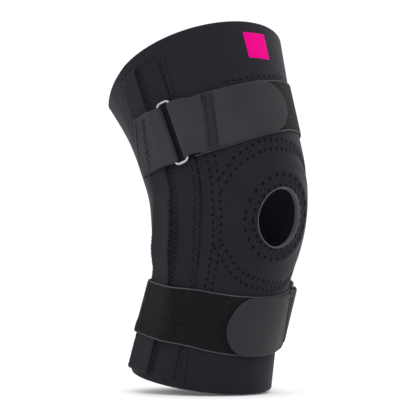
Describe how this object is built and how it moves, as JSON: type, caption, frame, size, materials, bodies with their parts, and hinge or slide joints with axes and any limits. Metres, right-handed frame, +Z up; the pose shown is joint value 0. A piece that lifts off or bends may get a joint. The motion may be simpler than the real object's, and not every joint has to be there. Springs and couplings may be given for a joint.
{
  "type": "knee brace",
  "caption": "Open-kneecap hinged knee brace: neoprene sleeve, geared side hinges in sewn pockets, and ring straps above and below the knee with fold-back hook tabs.",
  "frame": {"origin": "knee centre: on the centre line, midway between the upper and lower hinge pivots", "axes": "+Z up the leg, -Y to the front, -X to the outer (lateral) side of a right knee; stored with the knee bent 30 degrees"},
  "size_m": [0.1732, 0.1971, 0.3352],
  "materials": {
    "neoprene": "matt knitted face",
    "pad_foam": "matt",
    "label": "woven, plain",
    "pocket_fabric": "smooth matt knit",
    "arm_aluminium": "rolled",
    "plate_steel": "brushed",
    "rivet_steel": "polished",
    "washer_nylon": "matt",
    "cap_plastic": "matt",
    "ring_steel": "dull nickel plate",
    "pile": "looped pile",
    "hook": "fine hooks",
    "webbing": "matt woven"
  },
  "bodies": {
    "thigh": {"thigh_front_panel": "neoprene", "thigh_rear_panel": "neoprene", "label_patch": "label", "lateral_thigh_pocket": "pocket_fabric", "medial_thigh_pocket": "pocket_fabric", "lateral_thigh_arm": "arm_aluminium", "medial_thigh_arm": "arm_aluminium", "lateral_thigh_arm_cap": "cap_plastic", "medial_thigh_arm_cap": "cap_plastic", "upper_anchor_loop": "webbing", "upper_pile_band": "pile"},
    "shin": {"shin_front_panel": "neoprene", "shin_rear_panel": "neoprene", "lateral_shin_pocket": "pocket_fabric", "medial_shin_pocket": "pocket_fabric", "lateral_shin_arm": "arm_aluminium", "medial_shin_arm": "arm_aluminium", "lateral_shin_arm_cap": "cap_plastic", "medial_shin_arm_cap": "cap_plastic", "lower_anchor_loop": "webbing", "lower_pile_band": "pile"},
    "lateral_link": {"lateral_inner_plate": "plate_steel", "lateral_outer_plate": "plate_steel", "lateral_upper_rivet": "rivet_steel", "lateral_lower_rivet": "rivet_steel", "lateral_washers": "washer_nylon", "knee_front_panel": "neoprene", "popliteal_panel": "neoprene", "kneecap_ring_pad": "pad_foam", "lateral_knee_pocket": "pocket_fabric", "medial_knee_pocket": "pocket_fabric"},
    "medial_link": {"medial_inner_plate": "plate_steel", "medial_outer_plate": "plate_steel", "medial_upper_rivet": "rivet_steel", "medial_lower_rivet": "rivet_steel", "medial_washers": "washer_nylon"},
    "upper_ring": {"upper_ring": "ring_steel"},
    "upper_tab": {"upper_return_strap": "webbing", "upper_hook_tab": "webbing", "upper_hook_patch": "hook"},
    "lower_ring": {"lower_ring": "ring_steel"},
    "lower_tab": {"lower_return_strap": "webbing", "lower_hook_tab": "webbing", "lower_hook_patch": "hook"}
  },
  "joints": [
    {"name": "lateral_thigh_to_hinge", "type": "hinge", "parent": "thigh", "child": "lateral_link", "pos_m": [-0.0684, 0.00319, 0.00719], "axis": [1, 0, 0], "range_deg": [-15, 35], "stiffness_Nm_per_rad": 6, "deforming": ["knee_front_panel", "popliteal_panel", "kneecap_ring_pad", "lateral_knee_pocket", "medial_knee_pocket"]},
    {"name": "lateral_hinge_to_shin", "type": "hinge", "parent": "lateral_link", "child": "shin", "pos_m": [-0.0684, 0.00381, -0.00719], "axis": [1, 0, 0], "range_deg": [-15, 35]},
    {"name": "medial_thigh_to_hinge", "type": "hinge", "parent": "thigh", "child": "medial_link", "pos_m": [0.0684, 0.00319, 0.00719], "axis": [1, 0, 0], "range_deg": [-15, 35]},
    {"name": "upper_ring_swing", "type": "hinge", "parent": "thigh", "child": "upper_ring", "pos_m": [-0.07505, -0.00691, 0.08139], "axis": [0.1088, -0.3662, -0.9241], "range_deg": [0, 12]},
    {"name": "upper_tab_peel", "type": "hinge", "parent": "upper_ring", "child": "upper_tab", "pos_m": [-0.07081, -0.01816, 0.08635], "axis": [0.1088, -0.3662, -0.9241], "range_deg": [0, 110]},
    {"name": "lower_ring_swing", "type": "hinge", "parent": "shin", "child": "lower_ring", "pos_m": [0.06545, -0.00169, -0.07478], "axis": [0.0234, -0.3077, 0.9512], "range_deg": [0, 12]},
    {"name": "lower_tab_peel", "type": "hinge", "parent": "lower_ring", "child": "lower_tab", "pos_m": [0.06051, -0.01316, -0.07837], "axis": [0.0234, -0.3077, 0.9512], "range_deg": [0, 110]}
  ],
  "couplings": [
    {"joint": "lateral_hinge_to_shin", "follows": "lateral_thigh_to_hinge", "ratio": 1},
    {"joint": "medial_thigh_to_hinge", "follows": "lateral_thigh_to_hinge", "ratio": 1}
  ]
}
